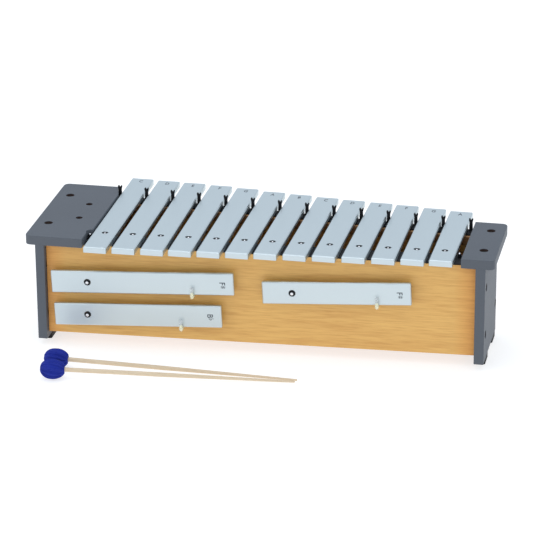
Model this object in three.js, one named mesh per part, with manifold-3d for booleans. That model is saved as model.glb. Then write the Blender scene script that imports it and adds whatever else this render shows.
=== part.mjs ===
// Table-top metallophone: thirteen aluminium tone bars lying across a tapered resonator box,
// three exchange bars hung on its front wall and a pair of yarn mallets on the table in front.
// Millimetres, +Z up, +X from the long bars to the short ones, +Y away from the player.
import * as THREE from 'three';
import { mergeVertices } from 'three/addons/utils/BufferGeometryUtils.js';
import Module from 'manifold-3d';

const wasm = await Module();
wasm.setup();

// ---- overall layout
const table_gap = 0.3;               // clearance left between pieces that touch
const bar_pitch = 44;                // centre to centre along the row, before each pin's own offset
const bar_width = 36;
const bar_thickness = 9.5;
const bar_top = 178;                 // height of the playing surface above the table
const bar_bottom = bar_top - bar_thickness;
const bar_corner = 1.6;              // rounding of the bar corners in plan
const bar_bevel = 1.1;               // bevel round the top face
const pin_hole_radius = 5.0;
const node_fraction = 0.21;          // where a free bar has its still points
const undercut_depth = 3.0;
const bar_names = ['c1', 'd1', 'e1', 'f1', 'g1', 'a1', 'b1', 'c2', 'd2', 'e2', 'f2', 'g2', 'a2'];
const bar_lengths = [311, 305, 300, 293, 284, 272, 264, 255, 247, 240, 233, 224, 214];
const bar_skews = [-0.2, -0.1, -0.3, 0.1, 0.3, 0.75, 1.0, 1.0, 0.8, 0.8, 0.2, 0.35, 0.45];   // degrees
const bar_offsets = [0.5, 0.4, 0.4, -0.35, -0.6, -0.75, -1.4, -1.0, -0.7, 0.2, 0.7, 0.75, -0.4];

// ---- resonator box
const front_slope = 0.0445;          // front wall runs back by this much per unit of length
const rear_slope = -0.0744;          // rear wall comes forward
const front_wall_y = 36.4;           // outer face of the front wall at the first bar
const post_line_y = 245.8;           // line of the rear posts at the first bar
const pin_line_offset = 28.3;        // pins stand this far behind the front wall's face
const wall_thickness = 10;
const wall_foot = 19;                // lower edge of the walls
const box_top = 166;                 // top of the walls and rails
const rail_height = 14;
const floor_board_z = 24;
const floor_board_thickness = 6;
const left_board_thickness = 14.8;
const right_board_thickness = 15.4;
const board_foot = 9.8;              // lower edge of the end boards, above the rubber feet
const left_board_x = -100.4;
const right_board_x = 579.5;
const left_board_front = 22.1;
const right_board_front = 49;
const left_board_rear = 240;
const right_board_rear = 190;
const inner_left = left_board_x + left_board_thickness;
const inner_right = right_board_x;
const rear_wall_near = -25.5;        // faces of the rear wall, measured from the line of the posts
const rear_wall_far = -15.5;

// ---- top plates
const plate_top = 181;
const plate_bottom = box_top + table_gap;
const left_plate = { x0: -116.5, x1: -19.4, front: 22.1, rear: 258 };
const right_plate = { x0: 557.5, x1: 608.6, front: 49, rear: 208.8 };
const plate_corner = 9;
const plate_bevel = 0.9;
const counterbore_radius = 6.7;
const screw_head_radius = 5.2;

// ---- pins, posts and hangers
const pin_radius = 1.9;
const sleeve_radius = 4.5;
const pin_top = 178;
const sleeve_top = 177.2;
const post_top = 187.5;
// posts stand in the gaps between the bars, the end ones outside the first and last bars
const post_places = [-22.4, 22.2, 66, 109.9, 154.4, 199.1, 243.6, 287.8, 331.8, 376, 419.8, 463.5, 507.3, 551.2];
const hang_gap = 9;                  // air between the front wall and an exchange bar
const hang_bar_thickness = 7;

// ---- mallets
const mallet_head_radius = 15.6;
const mallet_head_half_length = 19;
const mallet_stick_radius = 3.4;
const mallet_tip_radius = 1.5;        // the sticks taper over their rear half
const mallet_taper_start = 0.45;

// centre of the whole set on the table, so the origin sits under its middle
const shift_x = -246.05;
const shift_y = -97.13;

const colours = {
  aluminium: [0xbccbd4, 0.35, 0.9], steel: [0xd5d5d5, 0.3, 1.0], grey_paint: [0x6b717e, 0.6, 0.0],
  beech: [0xd4a862, 0.55, 0.0], inner_wood: [0x8a5f34, 0.7, 0.0], black_rubber: [0x17171a, 0.75, 0.0],
  cream: [0xe9e4b9, 0.5, 0.0],
  yarn: [0x263491, 0.95, 0.0], maple: [0xdec8aa, 0.55, 0.0], dark_screw: [0x38332f, 0.5, 0.8],
};

const model = new THREE.Group();
model.name = 'metallophone';

function frontLine(x, offset) {
  return front_wall_y + front_slope * x + offset;
}
function rearLine(x, offset) {
  return post_line_y + rear_slope * x + offset;
}
function barX(index) {
  return bar_pitch * index + bar_offsets[index];
}

// ---- small solid-modelling kit
function toSolid(geometry) {
  const bare = geometry.clone();
  bare.deleteAttribute('normal');
  bare.deleteAttribute('uv');
  const welded = mergeVertices(bare, 1e-4);
  return new wasm.Manifold(new wasm.Mesh({
    numProp: 3,
    vertProperties: new Float32Array(welded.attributes.position.array),
    triVerts: new Uint32Array(welded.index.array),
  }));
}
function toGeometry(manifold) {
  const mesh = manifold.getMesh();
  const geometry = new THREE.BufferGeometry();
  const count = mesh.vertProperties.length / mesh.numProp;
  const points = new Float32Array(count * 3);
  for (let i = 0; i < count; i += 1) {
    for (let k = 0; k < 3; k += 1) {
      points[3 * i + k] = mesh.vertProperties[mesh.numProp * i + k];
    }
  }
  geometry.setAttribute('position', new THREE.BufferAttribute(points, 3));
  geometry.setIndex(Array.from(mesh.triVerts));
  geometry.computeVertexNormals();
  return geometry;
}
function put(name, solids, colour) {
  let whole = solids[0];
  for (const extra of solids.slice(1)) {
    whole = whole.add(extra);
  }
  const [hex, roughness, metalness] = colours[colour];
  const material = new THREE.MeshStandardMaterial({ color: hex, roughness, metalness });
  material.name = colour;
  const geometry = toGeometry(whole);
  geometry.translate(shift_x, shift_y, 0);
  const mesh = new THREE.Mesh(geometry, material);
  mesh.name = name;
  model.add(mesh);
}
function outline(points) {
  const shape = new THREE.Shape();
  shape.moveTo(points[0][0], points[0][1]);
  for (const [x, y] of points.slice(1)) {
    shape.lineTo(x, y);
  }
  shape.closePath();
  return shape;
}
// flat slab: a plan outline between two heights
function slab(points, z0, z1) {
  const geometry = new THREE.ExtrudeGeometry(outline(points), { depth: z1 - z0, bevelEnabled: false });
  geometry.translate(0, 0, z0);
  return toSolid(geometry);
}
// slab whose top edge is bevelled all the way round
function bevelledSlab(points, z0, z1, bevel) {
  const body = new THREE.ExtrudeGeometry(outline(points), {
    depth: z1 - z0 - bevel, bevelEnabled: true, bevelThickness: bevel, bevelSize: bevel,
    bevelOffset: -bevel, bevelSegments: 1,
  });
  body.translate(0, 0, z0);
  const keep = slab(points.map(([x, y]) => [x, y]), z0, z1 + 1);
  return toSolid(body).intersect(keep);
}
// rectangle in plan with rounded corners
function roundedRectangle(x0, y0, x1, y1, radius, steps) {
  const points = [];
  const corners = [[x1 - radius, y1 - radius, 0], [x0 + radius, y1 - radius, 90],
    [x0 + radius, y0 + radius, 180], [x1 - radius, y0 + radius, 270]];
  for (const [cx, cy, start] of corners) {
    for (let k = 0; k <= steps; k += 1) {
      const angle = THREE.MathUtils.degToRad(start + 90 * k / steps);
      points.push([cx + radius * Math.cos(angle), cy + radius * Math.sin(angle)]);
    }
  }
  return points;
}
function box(x0, x1, y0, y1, z0, z1) {
  return slab([[x0, y0], [x1, y0], [x1, y1], [x0, y1]], z0, z1);
}
// body turned about a vertical axis from (radius, height) pairs
function turned(profile, segments) {
  const geometry = new THREE.LatheGeometry(profile.map(([r, z]) => new THREE.Vector2(r, z)), segments);
  geometry.rotateX(Math.PI / 2);
  return geometry;
}
function turnedAt(profile, segments, x, y, z) {
  const geometry = turned(profile, segments);
  geometry.translate(x, y, z);
  return toSolid(geometry);
}
function rod(radius, z0, z1, x, y, segments) {
  return turnedAt([[0, z0], [radius, z0], [radius, z1], [0, z1]], segments, x, y, 0);
}
// rod lying along X
function rodAlongX(radius, x0, x1, y, z, segments) {
  const geometry = turned([[0, x0], [radius, x0], [radius, x1], [0, x1]], segments);
  geometry.rotateY(Math.PI / 2);
  geometry.translate(0, y, z);
  return toSolid(geometry);
}

// ---- end boards with their counterbored screws
const screw_rows = [
  { side: 'front', level: 'upper', z: 131 }, { side: 'front', level: 'lower', z: 53 },
  { side: 'rear', level: 'upper', z: 131 }, { side: 'rear', level: 'lower', z: 58 },
];
function screwY(side, x) {
  return side === 'front' ? frontLine(x, wall_thickness / 2) : rearLine(x, (rear_wall_near + rear_wall_far) / 2);
}
const screw_reach = 26;
const end_screws = [];
let left_board = box(left_board_x, inner_left - table_gap, left_board_front, left_board_rear, board_foot, box_top);
let right_board = box(inner_right + table_gap, right_board_x + right_board_thickness, right_board_front,
  right_board_rear, board_foot, box_top);
const wall_pilots = [];
for (const { side, level, z } of screw_rows) {
  const left_y = screwY(side, inner_left);
  const right_y = screwY(side, inner_right);
  const left_out = left_board_x;
  const right_out = right_board_x + right_board_thickness;
  left_board = left_board.subtract(rodAlongX(counterbore_radius, left_out - 1, left_out + 4.5, left_y, z, 16));
  left_board = left_board.subtract(rodAlongX(2.4, left_out, inner_left + 1, left_y, z, 8));
  right_board = right_board.subtract(rodAlongX(counterbore_radius, right_out - 4.5, right_out + 1, right_y, z, 16));
  right_board = right_board.subtract(rodAlongX(2.4, inner_right - 1, right_out, right_y, z, 8));
  wall_pilots.push(rodAlongX(2.4, inner_left - 1, inner_left + screw_reach + 1, left_y, z, 8));
  wall_pilots.push(rodAlongX(2.4, inner_right - screw_reach - 1, inner_right + 1, right_y, z, 8));
  const left_screw = rodAlongX(2.0, left_out + 2.5, inner_left + screw_reach, left_y, z, 8)
    .add(rodAlongX(screw_head_radius, left_out + 1.8, left_out + 4.2, left_y, z, 12));
  const right_screw = rodAlongX(2.0, inner_right - screw_reach, right_out - 2.5, right_y, z, 8)
    .add(rodAlongX(screw_head_radius, right_out - 4.2, right_out - 1.8, right_y, z, 12));
  end_screws.push({ name: `left_board_screw_${side}_${level}`, solid: left_screw });
  end_screws.push({ name: `right_board_screw_${side}_${level}`, solid: right_screw });
}

// ---- top plates with counterbored screw holes and two mallet holes
const left_plate_screws = [[-94.6, 81.7], [-94, 206.3]];
const right_plate_screws = [[586.6, 91.4], [586.6, 174.8]];
const mallet_holes = [[-53.5, 111.8], [-53.5, 172.8]];
const mallet_hole_radius = 5.3;
const notch_x = left_plate.x1 - 6;
const notch_end = 56;
const notch_round = { y: 57.5, radius: 8.2 };
const rear_relief_start = 222;
const plate_screws = [];

function plateOutline(plate, rounded_side) {
  const points = [];
  const outer = roundedRectangle(plate.x0, plate.front, plate.x1, plate.rear, plate_corner, 5);
  for (const [x, y] of outer) {
    const middle = (plate.x0 + plate.x1) / 2;
    const on_inner_side = rounded_side === 'left' ? x > middle : x < middle;
    const at_front = y < (plate.front + plate.rear) / 2;
    if (!on_inner_side) {
      points.push([x, y]);
    } else {
      const inner_x = rounded_side === 'left' ? plate.x1 : plate.x0;
      const corner = [inner_x, at_front ? plate.front : plate.rear];
      const last = points[points.length - 1];
      if (!last || last[0] !== corner[0] || last[1] !== corner[1]) {
        points.push(corner);
      }
    }
  }
  const first = points[0];
  const last = points[points.length - 1];
  if (first[0] === last[0] && first[1] === last[1]) {
    points.pop();
  }
  return points;
}
let left_top = bevelledSlab(plateOutline(left_plate, 'left'), plate_bottom, plate_top, plate_bevel);
let right_top = bevelledSlab(plateOutline(right_plate, 'right'), plate_bottom, plate_top, plate_bevel);
// relief beside the first bar for the end pin
left_top = left_top.subtract(box(notch_x, left_plate.x1 + 5, left_plate.front - 5, notch_end, 160, 190));
left_top = left_top.subtract(rod(notch_round.radius, 160, 190, left_plate.x1, notch_round.y, 20));
// and a matching relief at the back for the end post
function rearRelief(inset, z0, z1) {
  return slab([[left_plate.x1 + 6, rear_relief_start + inset], [left_plate.x1 + inset, rear_relief_start + inset],
    [left_plate.x1 - 2.2 + inset, rear_relief_start + 12], [left_plate.x1 - 7 + inset, rear_relief_start + 23.5],
    [left_plate.x1 - 8.9 + inset, left_plate.rear + 5], [left_plate.x1 + 6, left_plate.rear + 5]], z0, z1);
}
left_top = left_top.subtract(rearRelief(0, 160, 190));
function screwPlate(plate, screws, label) {
  let result = plate;
  for (const [index, [x, y]] of screws.entries()) {
    result = result.subtract(rod(counterbore_radius, plate_top - 6.5, plate_top + 2, x, y, 18));
    result = result.subtract(rod(2.5, 150, plate_top, x, y, 8));
    const shank = rod(2.0, 140, plate_top - 5, x, y, 8);
    const head = rod(screw_head_radius, plate_top - 6.2, plate_top - 3.4, x, y, 12);
    plate_screws.push({ name: `${label}_plate_screw_${index === 0 ? 'front' : 'rear'}`, solid: shank.add(head) });
  }
  return result;
}
left_top = screwPlate(left_top, left_plate_screws, 'left');
right_top = screwPlate(right_top, right_plate_screws, 'right');
for (const [x, y] of mallet_holes) {
  left_top = left_top.subtract(rod(mallet_hole_radius, 150, 190, x, y, 16));
}
for (const [x, y] of left_plate_screws) {
  left_board = left_board.subtract(rod(2.4, 138, box_top + 1, x, y, 8));
}
for (const [x, y] of right_plate_screws) {
  right_board = right_board.subtract(rod(2.4, 138, box_top + 1, x, y, 8));
}
put('left_end_board', [left_board], 'grey_paint');
put('right_end_board', [right_board], 'grey_paint');
put('left_top_plate', [left_top], 'grey_paint');
put('right_top_plate', [right_top], 'grey_paint');
for (const { name, solid } of [...plate_screws, ...end_screws]) {
  put(name, [solid], 'dark_screw');
}

// ---- walls, floor and rails of the box
const wall_left = inner_left + table_gap;
const wall_right = inner_right - table_gap;
function strip(line, near, far, z0, z1, x0 = wall_left, x1 = wall_right) {
  return slab([[x0, line(x0, near)], [x1, line(x1, near)], [x1, line(x1, far)], [x0, line(x0, far)]], z0, z1);
}
let front_wall = strip(frontLine, 0, wall_thickness, wall_foot, box_top);
let rear_wall = strip(rearLine, rear_wall_near, rear_wall_far, wall_foot, box_top - rail_height - table_gap);
for (const pilot of wall_pilots) {
  front_wall = front_wall.subtract(pilot);
  rear_wall = rear_wall.subtract(pilot);
}
const floor_front = wall_thickness + table_gap;
const rear_inner = rear_wall_near - table_gap;
const box_floor = slab([
  [wall_left, frontLine(wall_left, floor_front)], [wall_right, frontLine(wall_right, floor_front)],
  [wall_right, rearLine(wall_right, rear_inner)], [wall_left, rearLine(wall_left, rear_inner)],
], floor_board_z, floor_board_z + floor_board_thickness);
const front_rail_near = wall_thickness + table_gap;
const front_rail_far = 38;
let front_rail = strip(frontLine, front_rail_near, front_rail_far, box_top - rail_height, box_top);
let rear_rail = strip(rearLine, rear_wall_near, 4.5, box_top - rail_height, box_top);
let front_cushion = strip(frontLine, 0.4, front_rail_far - 0.5, box_top + table_gap,
  bar_bottom - table_gap, notch_x + 0.5, right_plate.x0 - 1.5);
// the cushion runs into the relief of the left plate and stops short of the plate itself
front_cushion = front_cushion.subtract(box(notch_x - 20, left_plate.x1 + 0.5, notch_end, 120, 160, 175)
  .subtract(rod(notch_round.radius - 0.4, 150, 180, left_plate.x1, notch_round.y, 28)));
let rear_cushion = strip(rearLine, -19.5, 4.0, box_top + table_gap, bar_bottom - table_gap,
  notch_x + 0.5, right_plate.x0 - 1.5);
rear_cushion = rear_cushion.subtract(box(-60, left_plate.x1 + 0.5, 180, 280, 160, 175).subtract(rearRelief(0.5, 150, 180)));

// ---- pins that carry the bars, on a steel strip let into the front rail
const pin_seat = box_top - 9;
const strip_thickness = 1.2;
const strip_half = 4.4;
const pin_facets = 10;
function pinY(x) {
  return frontLine(x, pin_line_offset);
}
// guide pins stand at the two ends of the row, outside the first and last bars
const end_guides = [-22.6, 550.2];
const end_guide_forward = 2.2;       // they stand a little in front of the line of the bar pins
const end_guide_top = 176.2;
const end_guide_sleeve = 2.7;
const end_guide_sleeve_top = 174.2;
const pin_places = [
  { x: end_guides[0], y: pinY(end_guides[0]) - end_guide_forward, top: end_guide_top,
    sleeve: end_guide_sleeve, sleeve_end: end_guide_sleeve_top },
  { x: end_guides[1], y: pinY(end_guides[1]) - end_guide_forward, top: end_guide_top,
    sleeve: end_guide_sleeve, sleeve_end: end_guide_sleeve_top },
];
for (let i = 0; i < bar_lengths.length; i += 1) {
  pin_places.push({ x: barX(i), y: pinY(barX(i)), top: pin_top, sleeve: sleeve_radius, sleeve_end: sleeve_top });
}
const strip_ends = [end_guides[0] - 6, end_guides[1] + 6];
let pin_strip = strip(frontLine, pin_line_offset - strip_half, pin_line_offset + strip_half,
  pin_seat, pin_seat + strip_thickness, ...strip_ends);
front_rail = front_rail.subtract(strip(frontLine, pin_line_offset - strip_half - table_gap,
  pin_line_offset + strip_half + table_gap, box_top - rail_height - 1, pin_seat + strip_thickness + table_gap,
  strip_ends[0] - table_gap, strip_ends[1] + table_gap));
for (const { x, y, top, sleeve, sleeve_end } of pin_places) {
  const bore = pin_radius + table_gap;
  pin_strip = pin_strip.add(turnedAt([[0, pin_seat + 0.2], [pin_radius, pin_seat + 0.2], [pin_radius, top - 0.9],
    [0, top]], pin_facets, x, y, 0));
  front_cushion = front_cushion.add(turnedAt([[0, box_top + 0.8], [sleeve, box_top + 0.8], [sleeve, sleeve_end - 0.9],
    [sleeve - 0.9, sleeve_end], [0, sleeve_end]], pin_facets + 2, x, y, 0));
  front_cushion = front_cushion.subtract(rod(bore, box_top - 1, top + 2, x, y, pin_facets));
  front_rail = front_rail.subtract(rod(bore, pin_seat, box_top + 2, x, y, pin_facets));
}

// ---- forked rubber posts between the bars at the back
const post_seat = box_top + 0.8;
const post_neck = 2.2;
const post_head_half = 3.1;
function forkedPost(x, y) {
  // outline seen from the front: stem, flaring head and a V cut in its top
  const profile = [[-post_neck, post_seat], [post_neck, post_seat], [post_neck, post_top - 6.4],
    [post_head_half, post_top - 3.2], [post_head_half, post_top], [post_head_half - 1.3, post_top],
    [0, post_top - 2.6], [-post_head_half + 1.3, post_top], [-post_head_half, post_top],
    [-post_head_half, post_top - 3.2], [-post_neck, post_top - 6.4]];
  const geometry = new THREE.ExtrudeGeometry(outline(profile), { depth: 2 * post_neck, bevelEnabled: false });
  geometry.rotateX(Math.PI / 2);
  geometry.translate(x, y + post_neck, 0);
  return toSolid(geometry);
}
for (const x of post_places) {
  const y = rearLine(x, 0);
  rear_cushion = rear_cushion.add(forkedPost(x, y));
}
// countersunk screws that hold the rear rail down on its wall
const rail_screws = [];
for (const x of [-44, 547]) {
  const y = rearLine(x, -9);
  rail_screws.push(turnedAt([[0, box_top - 12.5], [1.6, box_top - 12.5], [1.6, box_top - 3.2],
    [3.6, box_top - 1.0], [3.6, box_top - 0.4], [0, box_top - 0.4]], 12, x, y, 0));
  rear_rail = rear_rail.subtract(rod(1.9, box_top - 20, box_top, x, y, 8));
  rear_rail = rear_rail.subtract(rod(4.0, box_top - 3.6, box_top + 2, x, y, 14));
  rear_cushion = rear_cushion.subtract(rod(4.4, box_top - 1, bar_top, x, y, 14));
}

// ---- exchange bars on the front wall
const hung_bars = [
  { name: 'f_sharp_1', length: 286, start: 9.4, from_top: 50.9, turn: 2.2, hanger: 57, hook: 221.5 },
  { name: 'b_flat_1', length: 263, start: 13, from_top: 104.8, turn: 2.25, hanger: 52.3, hook: 200 },
  { name: 'f_sharp_2', length: 229, start: 339.4, from_top: 50.4, turn: 2.6, hanger: 46.3, hook: 177 },
];
// a solid built in the wall's own frame: X along the wall, Y out of it, Z up
const wall_angle = Math.atan(front_slope);
const wall_frame_x = -84.8;
function onWall(solid, along, out, z, turn_degrees = 0) {
  const origin_x = wall_frame_x;
  const matrix = new THREE.Matrix4();
  const spin = new THREE.Matrix4().makeRotationY(THREE.MathUtils.degToRad(-turn_degrees));
  const place = new THREE.Matrix4().makeTranslation(along, -out, z);
  const swing = new THREE.Matrix4().makeRotationZ(wall_angle);
  const base = new THREE.Matrix4().makeTranslation(origin_x, frontLine(origin_x, 0), 0);
  matrix.multiply(base).multiply(swing).multiply(place).multiply(spin);
  return solid.transform(matrix.elements.slice());
}
function standing(solid_geometry) {
  // the part's plan becomes its front view: drawn upright, thickness away from the wall
  solid_geometry.rotateX(Math.PI / 2);
  return toSolid(solid_geometry);
}
const fittings = [];
const hang_bar_back = hang_gap;
const hang_bar_front = hang_gap + hang_bar_thickness;
const hook_rise = 17;
const hook_core_rise = 8.2;          // the core stops well short of the tube's open top
const hook_out = hang_bar_front + 4.2;
const hook_core_radius = 1.9;
const hook_sleeve_radius = 3.2;
function barBlank(length, width, thickness) {
  const points = roundedRectangle(-width / 2, 0, width / 2, length, bar_corner, 3);
  const blank = bevelledSlab(points, 0, thickness, bar_bevel);
  // shallow arched undercut that tunes the bar
  const reach = length * 0.27;
  const arch = [];
  const steps = 6;
  for (let k = 0; k <= steps; k += 1) {
    const t = k / steps;
    arch.push([length / 2 - reach + 2 * reach * t, undercut_depth * Math.sin(Math.PI * t)]);
  }
  const cut = new THREE.ExtrudeGeometry(outline([[length / 2 - reach, -2], ...arch, [length / 2 + reach, -2]]),
    { depth: width + 4, bevelEnabled: false });
  cut.rotateX(Math.PI / 2);
  cut.rotateZ(Math.PI / 2);
  cut.translate(-width / 2 - 2, 0, 0);
  return blank.subtract(toSolid(cut));
}
function sweep(points, radius, segments, steps) {
  const curve = new THREE.CurvePath();
  for (let k = 0; k + 1 < points.length; k += 1) {
    curve.add(new THREE.LineCurve3(points[k], points[k + 1]));
  }
  const smooth = new THREE.CatmullRomCurve3(points, false, 'catmullrom', 0.35);
  const ring = new THREE.Shape();
  ring.absarc(0, 0, radius, 0, 2 * Math.PI, false);
  const geometry = new THREE.ExtrudeGeometry(ring, { steps, extrudePath: smooth, curveSegments: segments,
    bevelEnabled: false });
  return toSolid(geometry);
}
const hung = [];
for (const { name, length, start, from_top, turn, hanger, hook } of hung_bars) {
  // bar drawn lying down, then stood on edge against the wall with its top face outwards
  const width = bar_width;
  let solid = barBlank(length, width, hang_bar_thickness);
  solid = solid.subtract(rod(pin_hole_radius, -5, 20, 0, hanger, 18));
  // lying: X across, Y along, Z up  ->  wall: along = Y, out = Z, up = -X
  const lay = new THREE.Matrix4().set(0, 1, 0, -hanger, 0, 0, -1, 0, -1, 0, 0, 0, 0, 0, 0, 1);
  solid = solid.transform(lay.clone().elements.slice());
  const pivot_along = start + hanger;
  const slope = Math.tan(THREE.MathUtils.degToRad(turn));
  const pivot_z = bar_top - from_top - width / 2 + hanger * slope;
  solid = onWall(solid, pivot_along, hang_bar_back, pivot_z, turn);
  hung.push({ name, solid });

  // steel pin with a rubber sleeve moulded round it
  const pin_reach = hang_bar_front + 3.2;
  const sleeve_end = hang_bar_front + 1.2;
  const pin_shape = turned([[0, -8], [pin_radius, -8], [pin_radius, table_gap], [sleeve_radius, table_gap],
    [sleeve_radius, sleeve_end - 1.2], [sleeve_radius - 1.2, sleeve_end], [pin_radius, sleeve_end],
    [pin_radius, pin_reach - 1.3], [pin_radius * 0.7, pin_reach - 0.3], [0, pin_reach]], 14);
  pin_shape.rotateX(Math.PI / 2);
  const hanger_pin = onWall(toSolid(pin_shape), pivot_along, 0, pivot_z);
  const bore = pin_radius + table_gap;
  const pilot = turned([[0, -8.3], [bore, -8.3], [bore, 5], [0, 5]], 14);
  pilot.rotateX(Math.PI / 2);
  front_wall = front_wall.subtract(onWall(toSolid(pilot), pivot_along, 0, pivot_z));

  // square hook in a soft tube: shank under the bar, tip turned up in front of it
  const hook_along = pivot_along + hook - hanger;
  const shank_z = pivot_z - width / 2 + (hook - hanger) * slope - 0.45 - hook_sleeve_radius;
  const bend = 4.4;
  const path = [new THREE.Vector3(0, -0.4, 0), new THREE.Vector3(0, -hook_out / 3, 0),
    new THREE.Vector3(0, -hook_out + bend, 0), new THREE.Vector3(0, -hook_out + bend * 0.3, bend * 0.3),
    new THREE.Vector3(0, -hook_out, bend), new THREE.Vector3(0, -hook_out, hook_rise)];
  const tube = sweep(path, hook_sleeve_radius, 10, 12);
  const screw_shank = turned([[0, -8], [hook_core_radius, -8], [hook_core_radius, 3], [0, 3]], 8);
  screw_shank.rotateX(Math.PI / 2);
  // the open end of the tube above the core
  const bore_up = turned([[0, hook_core_rise], [hook_sleeve_radius - 0.9, hook_core_rise],
    [hook_sleeve_radius - 0.9, hook_rise + 3], [0, hook_rise + 3]], 10);
  bore_up.translate(0, -hook_out, 0);
  const hook_solid = onWall(tube.add(toSolid(screw_shank)).subtract(toSolid(bore_up)), hook_along, 0, shank_z);
  fittings.push({ name, hanger_pin, hook: hook_solid });
  const hook_pilot = turned([[0, -8.4], [hook_core_radius + 0.35, -8.4], [hook_core_radius + 0.35, 5], [0, 5]], 12);
  hook_pilot.rotateX(Math.PI / 2);
  front_wall = front_wall.subtract(onWall(toSolid(hook_pilot), hook_along, 0, shank_z));
}

put('front_wall', [front_wall], 'beech');
put('rear_wall', [rear_wall], 'beech');
put('box_floor', [box_floor], 'inner_wood');
put('front_rail', [front_rail], 'inner_wood');
put('rear_rail', [rear_rail], 'inner_wood');
put('front_cushion', [front_cushion], 'black_rubber');
put('rear_post_strip', [rear_cushion], 'black_rubber');
put('pin_strip', [pin_strip], 'steel');
put('rear_rail_screw_left', [rail_screws[0]], 'dark_screw');
put('rear_rail_screw_right', [rail_screws[1]], 'dark_screw');
for (const { name, hanger_pin, hook } of fittings) {
  put('hanger_' + name, [hanger_pin], 'steel');
  put('hook_' + name, [hook], 'cream');
}

// ---- rubber feet under the end boards
const foot_length = 32;
const foot_inset = 0.3;
for (const [label, x0, thick, front, rear] of [
  ['left', left_board_x, left_board_thickness, left_board_front, left_board_rear],
  ['right', right_board_x, right_board_thickness, right_board_front, right_board_rear]]) {
  for (const [end, y0] of [['front', front + 24], ['rear', rear - 1 - foot_length]]) {
    const plan = roundedRectangle(x0 + foot_inset, y0, x0 + thick - foot_inset, y0 + foot_length, 3, 3);
    put(`${label}_${end}_foot`, [slab(plan, 0, board_foot - table_gap)], 'black_rubber');
  }
}

// ---- tone bars
for (let i = 0; i < bar_lengths.length; i += 1) {
  const length = bar_lengths[i];
  let solid = barBlank(length, bar_width, bar_thickness);
  solid = solid.subtract(rod(pin_hole_radius, -5, 20, 0, length * node_fraction, 18));
  const x = barX(i);
  const matrix = new THREE.Matrix4().makeTranslation(x, pinY(x), bar_bottom);
  matrix.multiply(new THREE.Matrix4().makeRotationZ(THREE.MathUtils.degToRad(-bar_skews[i])));
  matrix.multiply(new THREE.Matrix4().makeTranslation(0, -length * node_fraction, 0));
  put('tone_bar_' + bar_names[i], [solid.transform(matrix.elements.slice())], 'aluminium');
}
for (const { name, solid } of hung) {
  put('exchange_bar_' + name, [solid], 'aluminium');
}

// ---- mallets lying on the table, sticks sloping down from the heads to the table
const mallets = [
  { name: 'rear_mallet', head: [-47.9, -60.7], tip: [324, -40.5] },
  { name: 'front_mallet', head: [-42.9, -100.5], tip: [321.5, -47] },
];
for (const { name, head, tip } of mallets) {
  const run = Math.hypot(tip[0] - head[0], tip[1] - head[1]);
  const drop = mallet_head_radius - mallet_tip_radius;
  const place = new THREE.Matrix4().makeTranslation(head[0], head[1], mallet_head_radius + 0.05);
  place.multiply(new THREE.Matrix4().makeRotationZ(Math.atan2(tip[1] - head[1], tip[0] - head[0])));
  place.multiply(new THREE.Matrix4().makeRotationY(Math.atan2(drop, run)));
  const along_x = new THREE.Matrix4().makeRotationY(Math.PI / 2);
  place.multiply(along_x);
  const stick_end = Math.hypot(run, drop);
  const head_end = mallet_head_half_length;
  // profile runs from the crown of the head (negative) towards the stick (positive)
  const yarn_profile = [[0, -head_end], [6, -head_end + 0.7], [11.1, -head_end + 4],
    [14.4, -head_end + 9.5], [mallet_head_radius, -1.5], [14.8, 6], [12, 12.5], [7.8, 17],
    [mallet_stick_radius + 0.3, head_end],
    [mallet_stick_radius + 0.3, 4.2], [8.3, 4.2], [8.3, -9.8], [0, -9.8]];
  const core_profile = [[0, -9.5], [8, -9.5], [8, 3.9], [mallet_stick_radius + 0.3, 3.9],
    [mallet_stick_radius + 0.3, -6.3], [0, -6.3]];
  const stick_profile = [[0, -6], [mallet_stick_radius, -6], [mallet_stick_radius, stick_end * mallet_taper_start],
    [mallet_tip_radius, stick_end - 1.5], [mallet_tip_radius - 0.6, stick_end - 0.3], [0, stick_end]];
  const yarn = toSolid(turned(yarn_profile, 20)).transform(place.elements.slice());
  const core = toSolid(turned(core_profile, 12)).transform(place.elements.slice());
  const stick = toSolid(turned(stick_profile, 12)).transform(place.elements.slice());
  put(name + '_yarn', [yarn], 'yarn');
  put(name + '_core', [core], 'black_rubber');
  put(name + '_stick', [stick], 'maple');
}

export default model;
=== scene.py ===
import math
import random

import bmesh
import bpy
from mathutils import Matrix, Vector
from mathutils.geometry import tessellate_polygon


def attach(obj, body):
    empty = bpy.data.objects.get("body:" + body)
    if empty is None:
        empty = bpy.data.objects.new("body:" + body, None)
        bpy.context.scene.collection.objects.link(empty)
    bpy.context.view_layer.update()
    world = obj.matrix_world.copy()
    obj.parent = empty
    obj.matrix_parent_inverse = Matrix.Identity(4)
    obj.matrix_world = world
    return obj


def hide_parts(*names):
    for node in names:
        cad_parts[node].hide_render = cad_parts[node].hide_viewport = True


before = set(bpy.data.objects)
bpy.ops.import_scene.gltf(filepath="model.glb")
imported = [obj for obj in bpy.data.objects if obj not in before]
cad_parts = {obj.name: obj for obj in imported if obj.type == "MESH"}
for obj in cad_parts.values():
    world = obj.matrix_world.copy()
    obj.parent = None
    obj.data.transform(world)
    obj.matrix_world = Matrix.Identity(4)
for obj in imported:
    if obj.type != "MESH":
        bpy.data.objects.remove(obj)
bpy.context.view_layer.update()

# ---------------------------------------------------------------- layout, in millimetres as in the CAD
MM = 0.001
SHIFT = Vector((-246.05, -97.13, 0.0))
GAP = 0.3
PITCH, BAR_W, BAR_T = 44.0, 36.0, 9.5
BAR_TOP = 178.0
BAR_BOTTOM = BAR_TOP - BAR_T
HOLE_R = 5.0
NODE_AT = 0.21
UNDERCUT = 3.0
LABEL_SIZE = 9.6
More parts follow.
